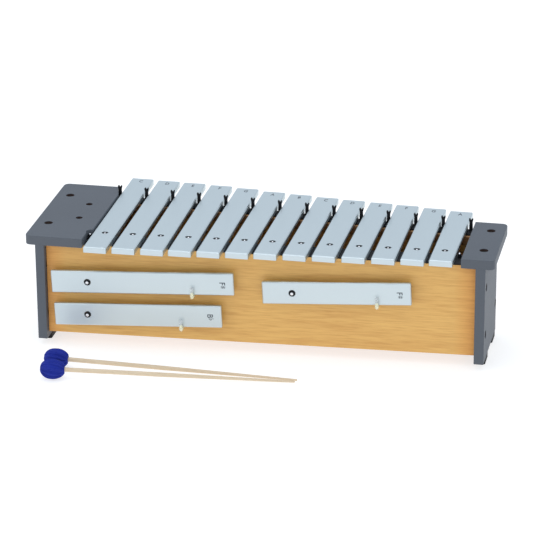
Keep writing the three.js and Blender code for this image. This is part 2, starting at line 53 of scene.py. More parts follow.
NAMES = ["c1", "d1", "e1", "f1", "g1", "a1", "b1", "c2", "d2", "e2", "f2", "g2", "a2"]
LENGTHS = [311, 305, 300, 293, 284, 272, 264, 255, 247, 240, 233, 224, 214]
SKEWS = [-0.2, -0.1, -0.3, 0.1, 0.3, 0.75, 1.0, 1.0, 0.8, 0.8, 0.2, 0.35, 0.45]
OFFSETS = [0.5, 0.4, 0.4, -0.35, -0.6, -0.75, -1.4, -1.0, -0.7, 0.2, 0.7, 0.75, -0.4]
BAR_X = [PITCH * i + offset for i, offset in enumerate(OFFSETS)]
FRONT_SLOPE, REAR_SLOPE = 0.0445, -0.0744
FRONT_Y, POST_Y = 36.4, 245.8
PIN_OFFSET = 28.3
WALL_T, BOX_TOP = 10.0, 166.0
BOARD_FOOT = 9.8
LEFT_X, RIGHT_X = -100.4, 579.5
BOARD_T = {"left": 14.8, "right": 15.4}
BOARD_SPAN = {"left": (22.1, 240.0), "right": (49.0, 190.0)}
INNER_L, INNER_R = LEFT_X + BOARD_T["left"], RIGHT_X
WALL_FRAME_X = -84.8
REAR_WALL_MIDDLE = -20.5
COUNTERBORE_R, PLATE_BORE_DEPTH, BOARD_BORE_DEPTH = 6.7, 6.6, 4.6
STICK_HOLE_R = 5.3
LEFT_PLATE_SCREWS = [(-94.6, 81.7), (-94.0, 206.3)]
RIGHT_PLATE_SCREWS = [(586.6, 91.4), (586.6, 174.8)]
STICK_HOLES = [(-53.5, 111.8), (-53.5, 172.8)]
BOARD_SCREWS = (("front", 131), ("front", 53), ("rear", 131), ("rear", 58))     # wall, height
FOOT_LENGTH, FRONT_FOOT_IN, REAR_FOOT_IN, FOOT_INSET = 32, 24, 1, 0.3
PLATE_TOP, PLATE_BOTTOM = 181.0, BOX_TOP + GAP
LEFT_PLATE = (-116.5, -19.4, 22.1, 258.0)
RIGHT_PLATE = (557.5, 608.6, 49.0, 208.8)
PIN_R, SLEEVE_R, PIN_TOP, SLEEVE_TOP = 1.9, 4.5, 178.0, 177.2
GUIDES = [-22.6, 550.2]
GUIDE_FORWARD, GUIDE_R, GUIDE_TOP, GUIDE_SLEEVE_TOP = 2.2, 2.7, 176.2, 174.2
POST_TOP = 187.5
POSTS = [-22.4, 22.2, 66, 109.9, 154.4, 199.1, 243.6, 287.8, 331.8, 376, 419.8, 463.5, 507.3, 551.2]
HANG_GAP, HANG_T = 9.0, 7.0
HUNG = [
    ("f_sharp_1", "F♯", 286, 9.4, 50.9, 2.2, 57, 221.5),
    ("b_flat_1", "B♭", 263, 13, 104.8, 2.25, 52.3, 200),
    ("f_sharp_2", "F♯", 229, 339.4, 50.4, 2.6, 46.3, 177),
]
MALLETS = [("rear_mallet", (-47.9, -60.7), (324.0, -40.5)), ("front_mallet", (-42.9, -100.5), (321.5, -47.0))]
HEAD_R, HEAD_HALF, STICK_R, TIP_R, TAPER_START = 15.6, 19.0, 3.4, 1.5, 0.45


def front_line(x, offset=0.0):
    return FRONT_Y + FRONT_SLOPE * x + offset


def rear_line(x, offset=0.0):
    return POST_Y + REAR_SLOPE * x + offset


def pin_y(x):
    return front_line(x, PIN_OFFSET)


# ---------------------------------------------------------------- mesh kit
def finish_mesh(bm, name, material, body=None, replaces=(), sharp=40.0, matrix=None):
    """Turns a bmesh drawn in layout millimetres into a piece in the row frame, in metres."""
    if matrix is not None:
        bmesh.ops.transform(bm, matrix=matrix, verts=bm.verts)
    bmesh.ops.transform(bm, matrix=Matrix.Scale(MM, 4) @ Matrix.Translation(SHIFT), verts=bm.verts)
    bmesh.ops.recalc_face_normals(bm, faces=bm.faces)
    for face in bm.faces:
        face.smooth = True
    limit = math.radians(sharp)
    for edge in bm.edges:
        if len(edge.link_faces) != 2 or edge.calc_face_angle(0.0) > limit:
            edge.smooth = False
    mesh = bpy.data.meshes.new(name)
    bm.to_mesh(mesh)
    bm.free()
    mesh.materials.append(material)
    piece = bpy.data.objects.new(name, mesh)
    bpy.context.scene.collection.objects.link(piece)
    if sharp < 60:
        weighted = piece.modifiers.new("normals", "WEIGHTED_NORMAL")
        weighted.keep_sharp = True
    if body:
        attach(piece, body)
    if replaces:
        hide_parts(*replaces)
    return piece


def rounded_rect(x0, y0, x1, y1, radius, steps=6):
    """Counter-clockwise outline."""
    points = []
    for cx, cy, start in ((x1 - radius, y1 - radius, 0), (x0 + radius, y1 - radius, 90),
                          (x0 + radius, y0 + radius, 180), (x1 - radius, y0 + radius, 270)):
        for k in range(steps + 1):
            angle = math.radians(start + 90 * k / steps)
            points.append((cx + radius * math.cos(angle), cy + radius * math.sin(angle)))
    return points


def circle(cx, cy, radius, count=40, clockwise=True):
    turn = -1 if clockwise else 1
    return [(cx + radius * math.cos(turn * 2 * math.pi * k / count),
             cy + radius * math.sin(turn * 2 * math.pi * k / count)) for k in range(count)]


def inward(loop):
    """Unit offset of each corner towards the material, which lies left of the direction of travel."""
    offsets = []
    count = len(loop)
    for i in range(count):
        p, q, r = Vector(loop[i - 1]), Vector(loop[i]), Vector(loop[(i + 1) % count])
        a, b = (q - p).normalized(), (r - q).normalized()
        na, nb = Vector((-a.y, a.x)), Vector((-b.y, b.x))
        mid = na + nb
        mid = mid / max(mid.dot(na), 0.35)
        offsets.append(mid)
    return offsets


CHAMFER = ((0.0, 1.15), (0.03, 1.04), (0.12, 0.9), (0.9, 0.12), (1.04, 0.03), (1.15, 0.0))


def prism(bm, loops, z0, z1, top=0.0, bottom=0.0, steps=3, chamfer=False, hole_top=None):
    """Slab through the given outlines (outer first, holes after it clockwise) with rounded rims."""
    rings_of = []
    outer_top = top
    for number, loop in enumerate(loops):
        normal = inward(loop)
        levels = []
        top = outer_top if number == 0 or hole_top is None else hole_top
        if bottom > 0:
            for k in range(steps + 1):
                t = math.pi / 2 * (1 - k / steps)
                levels.append((bottom * (1 - math.cos(t)), z0 + bottom - bottom * math.sin(t)))
        else:
            levels.append((0.0, z0))
        if chamfer and number == 0:
            levels += [(inset * top, z1 - down * top) for inset, down in CHAMFER]
        elif top > 0:
            for k in range(steps + 1):
                t = math.pi / 2 * k / steps
                levels.append((top * (1 - math.cos(t)), z1 - top + top * math.sin(t)))
        else:
            levels.append((0.0, z1))
        rings = []
        for offset, z in levels:
            rings.append([bm.verts.new((x + n.x * offset, y + n.y * offset, z))
                          for (x, y), n in zip(loop, normal)])
        for low, high in zip(rings, rings[1:]):
            for i in range(len(loop)):
                j = (i + 1) % len(loop)
                bm.faces.new((low[i], low[j], high[j], high[i]))
        rings_of.append(rings)
    for end, flip in ((0, True), (-1, False)):
        ring_sets = [rings[end] for rings in rings_of]
        flat = [v for ring in ring_sets for v in ring]
        triangles = tessellate_polygon([[v.co for v in ring] for ring in ring_sets])
        for a, b, c in triangles:
            corners = (flat[c], flat[b], flat[a]) if flip else (flat[a], flat[b], flat[c])
            try:
                bm.faces.new(corners)
            except ValueError:
                pass


def lathe(bm, profile, segments=32, matrix=None):
    """Body of revolution about Z from (radius, height) pairs; a zero radius closes on the axis."""
    rings = []
    for radius, z in profile:
        if radius <= 1e-6:
            rings.append([bm.verts.new((0, 0, z))])
        else:
            rings.append([bm.verts.new((radius * math.cos(2 * math.pi * k / segments),
                                        radius * math.sin(2 * math.pi * k / segments), z))
                          for k in range(segments)])
    pairs = list(zip(rings, rings[1:]))
    if len(rings[0]) > 1 and len(rings[-1]) > 1:
        pairs.append((rings[-1], rings[0]))
    for low, high in pairs:
        for k in range(segments):
            j = (k + 1) % segments
            if len(low) == 1 and len(high) == 1:
                continue
            if len(low) == 1:
                bm.faces.new((low[0], high[j], high[k]))
            elif len(high) == 1:
                bm.faces.new((low[k], low[j], high[0]))
            else:
                bm.faces.new((low[k], low[j], high[j], high[k]))
    made = [v for ring in rings for v in ring]
    if matrix is not None:
        bmesh.ops.transform(bm, matrix=matrix, verts=made)
    return made


def fillet(points, radius, steps=4):
    """Rounds the inner corners of an open (r, z) profile."""
    out = [points[0]]
    for a, b, c in zip(points, points[1:], points[2:]):
        a, b, c = Vector(a), Vector(b), Vector(c)
        da, dc = (a - b), (c - b)
        cut = min(radius, da.length * 0.45, dc.length * 0.45)
        start, end = b + da.normalized() * cut, b + dc.normalized() * cut
        for k in range(steps + 1):
            t = k / steps
            out.append(tuple((1 - t) ** 2 * start + 2 * t * (1 - t) * b + t * t * end))
    out.append(points[-1])
    return out


def spline_points(points, per_leg=8):
    """Catmull-Rom curve through the points."""
    pts = [Vector(p) for p in points]
    pts = [pts[0] * 2 - pts[1]] + pts + [pts[-1] * 2 - pts[-2]]
    out = []
    for p0, p1, p2, p3 in zip(pts, pts[1:], pts[2:], pts[3:]):
        for k in range(per_leg):
            t = k / per_leg
            out.append(0.5 * ((2 * p1) + (p2 - p0) * t + (2 * p0 - 5 * p1 + 4 * p2 - p3) * t * t
                              + (3 * p1 - p0 - 3 * p2 + p3) * t ** 3))
    out.append(pts[-2])
    return out


def tube(bm, points, radii, segments=16, cap=True):
    """Round tube along the points; radii is one number or one per point."""
    if not isinstance(radii, (list, tuple)):
        radii = [radii] * len(points)
    up = Vector((0, 0, 1))
    tangent = (points[1] - points[0]).normalized()
    if abs(tangent.dot(up)) > 0.9:
        up = Vector((1, 0, 0))
    side = tangent.cross(up).normalized()
    rings = []
    for i, p in enumerate(points):
        a = points[max(i - 1, 0)]
        b = points[min(i + 1, len(points) - 1)]
        tangent = (b - a).normalized()
        side = (side - tangent * side.dot(tangent)).normalized()
        other = tangent.cross(side)
        rings.append([bm.verts.new(p + (side * math.cos(2 * math.pi * k / segments)
                                        + other * math.sin(2 * math.pi * k / segments)) * radii[i])
                      for k in range(segments)])
    for low, high in zip(rings, rings[1:]):
        for k in range(segments):
            j = (k + 1) % segments
            bm.faces.new((low[k], low[j], high[j], high[k]))
    if cap:
        bm.faces.new(rings[0])
        bm.faces.new(rings[-1])


def lift(x, y, z=0.0):
    return Matrix.Translation((x, y, z))


# ---------------------------------------------------------------- materials
class Nodes:
    """Short way to build one material's node tree."""

    def __init__(self, name, **shader):
        self.material = bpy.data.materials.new(name)
        self.material.use_nodes = True
        self.tree = self.material.node_tree
        self.shader = self.tree.nodes["Principled BSDF"]
        for key, value in shader.items():
            self.shader.inputs[key.replace("_", " ")].default_value = value

    def add(self, kind, inputs=None, **settings):
        node = self.tree.nodes.new(kind)
        for key, value in settings.items():
            setattr(node, key, value)
        for key, value in (inputs or {}).items():
            socket = node.inputs[key]
            if isinstance(value, bpy.types.NodeSocket):
                self.tree.links.new(value, socket)
            else:
                socket.default_value = value
        return node

    def link(self, source, target):
        self.tree.links.new(source, target)

    def coords(self, scale, rotation=(0, 0, 0)):
        where = self.add("ShaderNodeTexCoord")
        return self.add("ShaderNodeMapping", {"Vector": where.outputs["Object"], "Scale": scale,
                                              "Rotation": rotation}).outputs["Vector"]

    def noise(self, scale, detail=3.0, rough=0.55, stretch=(1, 1, 1), rotation=(0, 0, 0)):
        return self.add("ShaderNodeTexNoise", {"Vector": self.coords(stretch, rotation), "Scale": scale,
                                               "Detail": detail, "Roughness": rough}).outputs["Fac"]

    def ramp(self, source, stops):
        node = self.add("ShaderNodeValToRGB", {"Fac": source})
        ramp = node.color_ramp
        while len(ramp.elements) < len(stops):
            ramp.elements.new(0.5)
        for element, (position, colour) in zip(ramp.elements, stops):
            element.position = position
            element.color = (*colour, 1.0) if len(colour) == 3 else colour
        return node.outputs["Color"]

    def mix(self, factor, a, b, blend="MIX"):
        node = self.add("ShaderNodeMix", data_type="RGBA", blend_type=blend)
        for socket, value in ((node.inputs[0], factor), (node.inputs[6], a), (node.inputs[7], b)):
            if isinstance(value, bpy.types.NodeSocket):
                self.tree.links.new(value, socket)
            else:
                socket.default_value = value
        return node.outputs[2]

    def grey(self, source, low, high):
        node = self.add("ShaderNodeMapRange", {"Value": source, "To Min": low, "To Max": high})
        return node.outputs["Result"]

    def bump(self, height, strength, distance):
        node = self.add("ShaderNodeBump", {"Height": height, "Strength": strength, "Distance": distance})
        self.link(node.outputs["Normal"], self.shader.inputs["Normal"])

    def set(self, socket, value):
        self.link(value, self.shader.inputs[socket])


def srgb(r, g, b):
    def one(c):
        c /= 255.0
        return c / 12.92 if c <= 0.04045 else ((c + 0.055) / 1.055) ** 2.4
    return (one(r), one(g), one(b))


def rgba(colour):
    return (*colour, 1.0)


def aluminium():
    m = Nodes("bar_aluminium", Metallic=1.0, Roughness=0.44)
    brush = m.noise(900.0, 2.0, 0.5, (1.0, 0.03, 1.0))
    cloud = m.noise(9.0, 2.0, 0.5)
    tone = m.mix(m.grey(cloud, 0.0, 0.6), rgba((0.585, 0.655, 0.68)), rgba((0.615, 0.69, 0.71)))
    m.set("Base Color", m.mix(m.grey(brush, 0.0, 0.3), tone, rgba((0.70, 0.77, 0.79))))
    m.set("Roughness", m.grey(brush, 0.40, 0.50))
    m.bump(brush, 0.05, 0.0004)
    return m.material


def painted_grey():
    m = Nodes("grey_paint", Roughness=0.5)
    m.shader.inputs["Specular IOR Level"].default_value = 0.16
    cloud = m.noise(6.0, 3.0)
    peel = m.noise(420.0, 2.0, 0.6)
    m.set("Base Color", m.mix(cloud, rgba(srgb(89, 93, 99)), rgba(srgb(97, 102, 109))))
    m.set("Roughness", m.grey(peel, 0.42, 0.56))
    m.bump(peel, 0.12, 0.0004)
    return m.material


def wood(name, pale, mid, dark, stretch, rough=0.5, grain=0.5, end_shade=None):
    """Fine straight grain; stretch is small along the grain; the last argument gives the band of |x| over
    which painted shade darkens and warms the wood towards the end boards.
    """
    m = Nodes(name, Roughness=rough)
    fine = m.noise(420.0, 4.0, 0.62, stretch)
    broad = m.noise(120.0, 3.0, 0.55, stretch)
    cloud = m.noise(7.0, 2.0, 0.5, (1.0, 1.0, 2.5))
    base = m.mix(m.grey(cloud, 0.0, 0.7), rgba(pale), rgba(mid))
    base = m.mix(m.ramp(broad, [(0.42, (0, 0, 0)), (0.68, (grain * 0.45,) * 3)]), base, rgba(dark))
    base = m.mix(m.ramp(fine, [(0.46, (0, 0, 0)), (0.70, (grain * 0.8,) * 3)]), base, rgba(dark))
    base = m.mix(m.ramp(fine, [(0.30, (0.35, 0.35, 0.35)), (0.46, (0, 0, 0))]), base, rgba(pale))
    # painted shade: near both end boards the wood is multiplied darker and warmer, standing for the shade
    # that falls beside the boards
    if end_shade:
        split = m.add("ShaderNodeSeparateXYZ", {"Vector": m.coords((1, 1, 1))})
        far = m.add("ShaderNodeMath", {0: split.outputs["X"]}, operation="ABSOLUTE").outputs[0]
        near = m.add("ShaderNodeMapRange",
                     {"Value": far, "From Min": end_shade[0], "From Max": end_shade[1]}).outputs[0]
        base = m.mix(near, base, rgba((1.0, 0.80, 0.60)), "MULTIPLY")
    m.set("Base Color", base)
    m.set("Roughness", m.grey(fine, rough - 0.06, rough + 0.08))
    m.bump(fine, 0.12, 0.0003)
    return m.material


def rubber(name, tone, rough=0.6):
    m = Nodes(name, Roughness=rough)
    m.shader.inputs["Specular IOR Level"].default_value = 0.25
    grain = m.noise(700.0, 3.0)
    m.set("Base Color", m.mix(grain, rgba(tone), rgba(tuple(c * 1.6 for c in tone))))
    m.set("Roughness", m.grey(grain, rough - 0.1, rough + 0.12))
    m.bump(grain, 0.15, 0.0003)
    return m.material


def metal(name, tone, rough):
    m = Nodes(name, Metallic=1.0, Roughness=rough)
    wear = m.noise(500.0, 3.0)
    m.set("Base Color", m.mix(m.grey(wear, 0.0, 0.3), rgba(tone), rgba(tuple(c * 0.7 for c in tone))))
    m.set("Roughness", m.grey(wear, rough * 0.7, rough * 1.4))
    return m.material


ALU = aluminium()
GREY = painted_grey()
ALONG_X = (0.035, 1.0, 1.0)
# beech carries painted shade: the last pair is the band of |x| in metres where it darkens towards the end
# boards
BEECH = wood("beech", srgb(234, 186, 106), srgb(222, 168, 90), srgb(186, 122, 54),
             ALONG_X, 0.45, 0.5, (0.300, 0.331))
PLY = wood("inner_wood", srgb(196, 146, 98), srgb(176, 128, 82), srgb(130, 90, 54), ALONG_X, 0.7)
BLACK = rubber("black_rubber", srgb(19, 19, 22))
CHROME = metal("pin_steel", (0.86, 0.86, 0.88), 0.18)
SCREW = metal("screw_steel", (0.10, 0.095, 0.09), 0.45)
CREAM = rubber("hook_cream", srgb(233, 228, 180), 0.45)
INK = rubber("note_ink", srgb(58, 64, 72), 0.6)
# painted shade: the bore linings are unpainted wood darkened to stand for the shade inside the holes
RAW_WOOD_SHADE = wood("raw_bore_shade", srgb(72, 52, 44), srgb(60, 42, 36), srgb(40, 28, 24), (1.0, 1.0, 1.0), 0.85)


def clear_tube():
    m = Nodes("clear_tube", Roughness=0.3, Alpha=0.22)
    haze = m.noise(300.0, 2.0)
    m.set("Base Color", m.mix(haze, rgba(srgb(236, 238, 238)), rgba(srgb(218, 224, 228))))
    m.set("Roughness", m.grey(haze, 0.22, 0.4))
    return m.material


CLEAR = clear_tube()


def stick_wood():
    m = Nodes("stick_maple", Roughness=0.5)
    fine = m.noise(700.0, 3.0, 0.6, ALONG_X)
    broad = m.noise(90.0, 2.0, 0.5, ALONG_X)
    tone = m.mix(m.grey(broad, 0.0, 0.8), rgba(srgb(228, 208, 178)), rgba(srgb(214, 190, 158)))
    m.set("Base Color", m.mix(m.ramp(fine, [(0.5, (0, 0, 0)), (0.78, (0.4, 0.4, 0.4))]), tone,
                              rgba(srgb(176, 146, 110))))
    m.bump(fine, 0.15, 0.0002)
    return m.material


def yarn():
    m = Nodes("mallet_yarn", Roughness=0.9, Sheen_Weight=0.12, Sheen_Roughness=0.5)
    m.shader.inputs["Sheen Tint"].default_value = (0.35, 0.45, 1.0, 1.0)
    m.shader.inputs["Specular IOR Level"].default_value = 0.2
    fibre = m.noise(1500.0, 3.0, 0.65)
    cloud = m.noise(60.0, 2.0)
    tone = m.mix(cloud, rgba(srgb(26, 40, 142)), rgba(srgb(44, 64, 182)))
    m.set("Base Color", m.mix(m.grey(fibre, 0.0, 0.6), tone, rgba(srgb(12, 18, 80))))
    m.bump(fibre, 0.5, 0.0006)
    return m.material


MAPLE = stick_wood()
YARN = yarn()

# CAD nodes that stay as they are take these finishes and a small rounded rim
CARRIED = {
    "rear_wall": (BEECH, 0.0008), "box_floor": (PLY, 0.0005), "front_rail": (PLY, 0.0006),
    "rear_rail": (PLY, 0.0006), "pin_strip": (CHROME, 0.0), "front_wall": (BEECH, 0.0008),
}
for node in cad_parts:
    if "screw" in node:
        CARRIED[node] = (SCREW, 0.0002)
    if node.endswith("_core"):
        CARRIED[node] = (BLACK, 0.0003)
for node, (material, rim) in CARRIED.items():
    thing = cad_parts[node]
    for slot in thing.material_slots:
        slot.material = material
    if rim:
        bevel = thing.modifiers.new("rim", "BEVEL")
        bevel.width = rim
        bevel.segments = 2
        bevel.limit_method = "ANGLE"
        bevel.angle_limit = math.radians(50)
        bevel.harden_normals = False


# ---------------------------------------------------------------- tone bars
def arch(y, length):
    reach = length * 0.27
    t = (y - (length / 2 - reach)) / (2 * reach)
    return UNDERCUT * math.sin(math.pi * t) if 0 < t < 1 else 0.0


def make_bar(name, label, length, thickness, hole_at, matrix, body, node):
    bm = bmesh.new()
    prism(bm, [rounded_rect(-BAR_W / 2, 0, BAR_W / 2, length, 1.6, 5), circle(0, hole_at, HOLE_R, 48)],
          0, thickness, 1.4, 0.6, 3, True, 0.8)
    reach = length * 0.27
    for k in range(15):
        y = length / 2 - reach + 2 * reach * k / 14
        bmesh.ops.bisect_plane(bm, geom=bm.verts[:] + bm.edges[:] + bm.faces[:], plane_co=(0, y, 0),
                               plane_no=(0, 1, 0))
    for v in bm.verts:
        if v.co.z < 0.9:
            v.co.z += arch(v.co.y, length)
    piece = finish_mesh(bm, name, ALU, body, (node,), 30.0, matrix)
    from_end, narrow = (14.0, 0.74) if len(label) == 1 else (18.0, 0.95)
    add_label(name + "_note", label, (0, length - from_end, thickness), LABEL_SIZE, narrow, matrix, body)
    return piece


def glyph(bm, kind, x, y, z, size):
    """Sharp and flat signs drawn as strokes, since a font may not hold them."""
    def stroke(x0, y0, x1, y1, w):
        d = Vector((x1 - x0, y1 - y0)).normalized()
        n = Vector((-d.y, d.x)) * w / 2
        base = [(x0 + n.x, y0 + n.y), (x0 - n.x, y0 - n.y), (x1 - n.x, y1 - n.y), (x1 + n.x, y1 + n.y)]
        prism(bm, [[(x + px * size, y + py * size) for px, py in base]], z, z + 0.12)
    if kind == "♯":
        for sx in (-0.09, 0.09):
            stroke(sx, -0.38, sx, 0.38, 0.06)
        for sy in (-0.14, 0.14):
            stroke(-0.2, sy - 0.05, 0.2, sy + 0.05, 0.10)
    else:
        stroke(-0.12, -0.36, -0.12, 0.46, 0.06)
        for a, b in (((-0.12, -0.34), (0.12, -0.1)), ((0.12, -0.12), (0.08, 0.06)),
                     ((0.1, 0.05), (-0.12, 0.0))):
            stroke(*a, *b, 0.07)


def add_label(name, text, place, size, narrow, matrix, body):
    """Printed note name: a thin skin of ink on the bar."""
    curve = bpy.data.curves.new(name, "FONT")
    curve.body = text[0]
    curve.size = size * 1.32
    curve.extrude = 0.05
    curve.offset = 0.1
    curve.align_x, curve.align_y = "CENTER", "CENTER"
    curve.resolution_u = 6
    holder = bpy.data.objects.new(name, curve)
    bpy.context.scene.collection.objects.link(holder)
    bpy.context.view_layer.update()
    mesh = bpy.data.meshes.new_from_object(holder.evaluated_get(bpy.context.evaluated_depsgraph_get()))
    bpy.data.objects.remove(holder)
    bpy.data.curves.remove(curve)
    bm = bmesh.new()
    bm.from_mesh(mesh)
    bpy.data.meshes.remove(mesh)
    bmesh.ops.remove_doubles(bm, verts=bm.verts, dist=1e-4)
    x, y, z = place
    bmesh.ops.transform(bm, matrix=lift(x - (1.6 if len(text) > 1 else 0), y, z + 0.06)
                        @ Matrix.Diagonal((narrow, 1, 1, 1)), verts=bm.verts)
    if len(text) > 1:
        glyph(bm, text[1], x + 4.2, y + 1.6, z, size)
    piece = finish_mesh(bm, name, INK, body, (), 40.0, matrix)
    return piece


for bar, x, length, skew in zip(NAMES, BAR_X, LENGTHS, SKEWS):
    place = (lift(x, pin_y(x), BAR_BOTTOM) @ Matrix.Rotation(math.radians(-skew), 4, "Z")
             @ lift(0, -length * NODE_AT))
    make_bar("bar_" + bar, bar[0].upper(), length, BAR_T, length * NODE_AT, place, "bar_" + bar,
             "tone_bar_" + bar)

# ---------------------------------------------------------------- exchange bars, hangers and hooks
WALL_ANGLE = math.atan(FRONT_SLOPE)
LAY = Matrix(((0, 1, 0, 0), (0, 0, -1, 0), (-1, 0, 0, 0), (0, 0, 0, 1)))


def on_wall(along, out, z, turn=0.0):
    return (lift(WALL_FRAME_X, front_line(WALL_FRAME_X)) @ Matrix.Rotation(WALL_ANGLE, 4, "Z")
            @ lift(along, -out, z) @ Matrix.Rotation(math.radians(-turn), 4, "Y"))


OUTWARD = Matrix.Rotation(math.pi / 2, 4, "X")      # turned parts: their axis from +Z to -Y
FACE_OUT = HANG_GAP + HANG_T
HOOK_OUT, HOOK_RISE, CORE_RISE, HOOK_CORE, HOOK_TUBE, BEND = FACE_OUT + 4.2, 17.0, 8.2, 2.1, 3.2, 4.4
for key, label, length, start, from_top, turn, hanger, hook in HUNG:
    slope = math.tan(math.radians(turn))
    pivot_along = start + hanger
    pivot_z = BAR_TOP - from_top - BAR_W / 2 + hanger * slope
    place = on_wall(pivot_along, HANG_GAP, pivot_z, turn) @ LAY @ lift(0, -hanger)
    make_bar("hung_" + key, label, length, HANG_T, hanger, place, "hung_bar_" + key, "exchange_bar_" + key)

    bm = bmesh.new()
    lathe(bm, fillet([(0, -7.5), (PIN_R, -7.5), (PIN_R, FACE_OUT + 2.0), (PIN_R + 0.45, FACE_OUT + 2.0),
                      (PIN_R + 0.45, FACE_OUT + 2.6), (0, FACE_OUT + 3.2)], 0.5), 32)
    finish_mesh(bm, "hanger_pin_" + key, CHROME, "sound_box", ("hanger_" + key,), 30.0,
                on_wall(pivot_along, 0, pivot_z) @ OUTWARD)
    bm = bmesh.new()
    lathe(bm, fillet([(PIN_R + 0.1, GAP), (SLEEVE_R, GAP), (SLEEVE_R, FACE_OUT + 1.2),
                      (PIN_R + 0.9, FACE_OUT + 1.2), (PIN_R + 0.1, FACE_OUT + 0.7)], 0.7), 40)
    finish_mesh(bm, "hanger_sleeve_" + key, BLACK, "sound_box", (), 30.0,
                on_wall(pivot_along, 0, pivot_z) @ OUTWARD)

    hook_along = pivot_along + hook - hanger
    shank_z = pivot_z - BAR_W / 2 + (hook - hanger) * slope - 0.45 - HOOK_TUBE
    bend = [(0, -HOOK_OUT + BEND, 0), (0, -HOOK_OUT + BEND * 0.3, BEND * 0.3), (0, -HOOK_OUT, BEND)]
    bm = bmesh.new()
    path = spline_points([(0, 7.5, 0), (0, -0.4, 0), (0, -HOOK_OUT / 3, 0)] + bend
                         + [(0, -HOOK_OUT, CORE_RISE - 0.5), (0, -HOOK_OUT, CORE_RISE)], 6)
    tube(bm, path, [HOOK_CORE] * (len(path) - 3) + [HOOK_CORE * 0.93, HOOK_CORE * 0.8, HOOK_CORE * 0.45], 18)
    finish_mesh(bm, "hook_core_" + key, CREAM, "sound_box", ("hook_" + key,), 50.0,
                on_wall(hook_along, 0, shank_z))
    bm = bmesh.new()
    path = spline_points([(0, -0.4, 0), (0, -HOOK_OUT / 3, 0)] + bend
                         + [(0, -HOOK_OUT, HOOK_RISE * 0.6), (0, -HOOK_OUT, HOOK_RISE)], 6)
    outside = len(path)
    path += path[:-len(path) // 2:-1]
    radii = [HOOK_TUBE - 0.1] * outside + [HOOK_TUBE - 0.75] * (len(path) - outside)
    radii[0] = HOOK_TUBE - 0.4
    tube(bm, path, radii, 24)
    finish_mesh(bm, "hook_tube_" + key, CLEAR, "sound_box", (), 50.0,
                on_wall(hook_along, 0, shank_z))


# ---------------------------------------------------------------- top plates
def arc(cx, cy, radius, start, end, steps):
    return [(cx + radius * math.cos(math.radians(start + (end - start) * k / steps)),
             cy + radius * math.sin(math.radians(start + (end - start) * k / steps)))
            for k in range(steps + 1)]


def bore_lining(bm, radius, inner, floor_z, top_z, matrix):
    """Unpainted wood inside a drilled hole, coloured very dark as painted shade for the hole's depth: its
    wall and the ring of its floor.
    """
    lathe(bm, [(radius - 0.02, top_z), (radius + 0.1, top_z),
               (radius + 0.1, floor_z - 0.5), (inner, floor_z - 0.5),
               (inner, floor_z), (radius - 0.4, floor_z), (radius - 0.12, floor_z + 0.3)], 44, matrix)


def plate(name, outline, screws, through, node):
    bm = bmesh.new()
    holes = [circle(x, y, COUNTERBORE_R, 44) for x, y in screws]
    holes += [circle(x, y, STICK_HOLE_R, 40) for x, y in through]
    prism(bm, [outline] + holes, PLATE_BOTTOM, PLATE_TOP, 0.9, 0.15, 3, False, 0.5)
    finish_mesh(bm, name, GREY, "sound_box", (node,), 30.0)
    bm = bmesh.new()
    for x, y in screws:
        bore_lining(bm, COUNTERBORE_R, 2.6, PLATE_TOP - PLATE_BORE_DEPTH, PLATE_TOP - 0.7, lift(x, y))
    for x, y in through:
        bore_lining(bm, STICK_HOLE_R, 4.2, PLATE_BOTTOM + 0.2, PLATE_TOP - 0.7, lift(x, y))
    finish_mesh(bm, name.replace("visual", "bores"), RAW_WOOD_SHADE, "sound_box", (), 30.0)


x0, x1, y0, y1 = LEFT_PLATE
NOTCH_X, NOTCH_Y, NOTCH_R = x1 - 6.0, 57.5, 8.1
left_outline = (
    [(x1, NOTCH_Y + NOTCH_R), (x1, 222), (x1 - 0.8, 227), (x1 - 2.2, 234), (x1 - 4.4, 239.8), (x1 - 7, 245.5),
     (x1 - 8.4, y1)]
    + arc(x0 + 9, y1 - 9, 9, 90, 180, 8) + arc(x0 + 9, y0 + 9, 9, 180, 270, 8)
    + [(NOTCH_X, y0), (NOTCH_X, 50.5), (NOTCH_X - 0.5, 51.6)] + arc(x1, NOTCH_Y, NOTCH_R, 212, 96, 12)
)
plate("left_plate_visual", left_outline, LEFT_PLATE_SCREWS, STICK_HOLES, "left_top_plate")
x0, x1, y0, y1 = RIGHT_PLATE
right_outline = ([(x0, y1), (x0, y0)] + arc(x1 - 9, y0 + 9, 9, 270, 360, 8)
                 + arc(x1 - 9, y1 - 9, 9, 0, 90, 8))
plate("right_plate_visual", right_outline, RIGHT_PLATE_SCREWS, [], "right_top_plate")

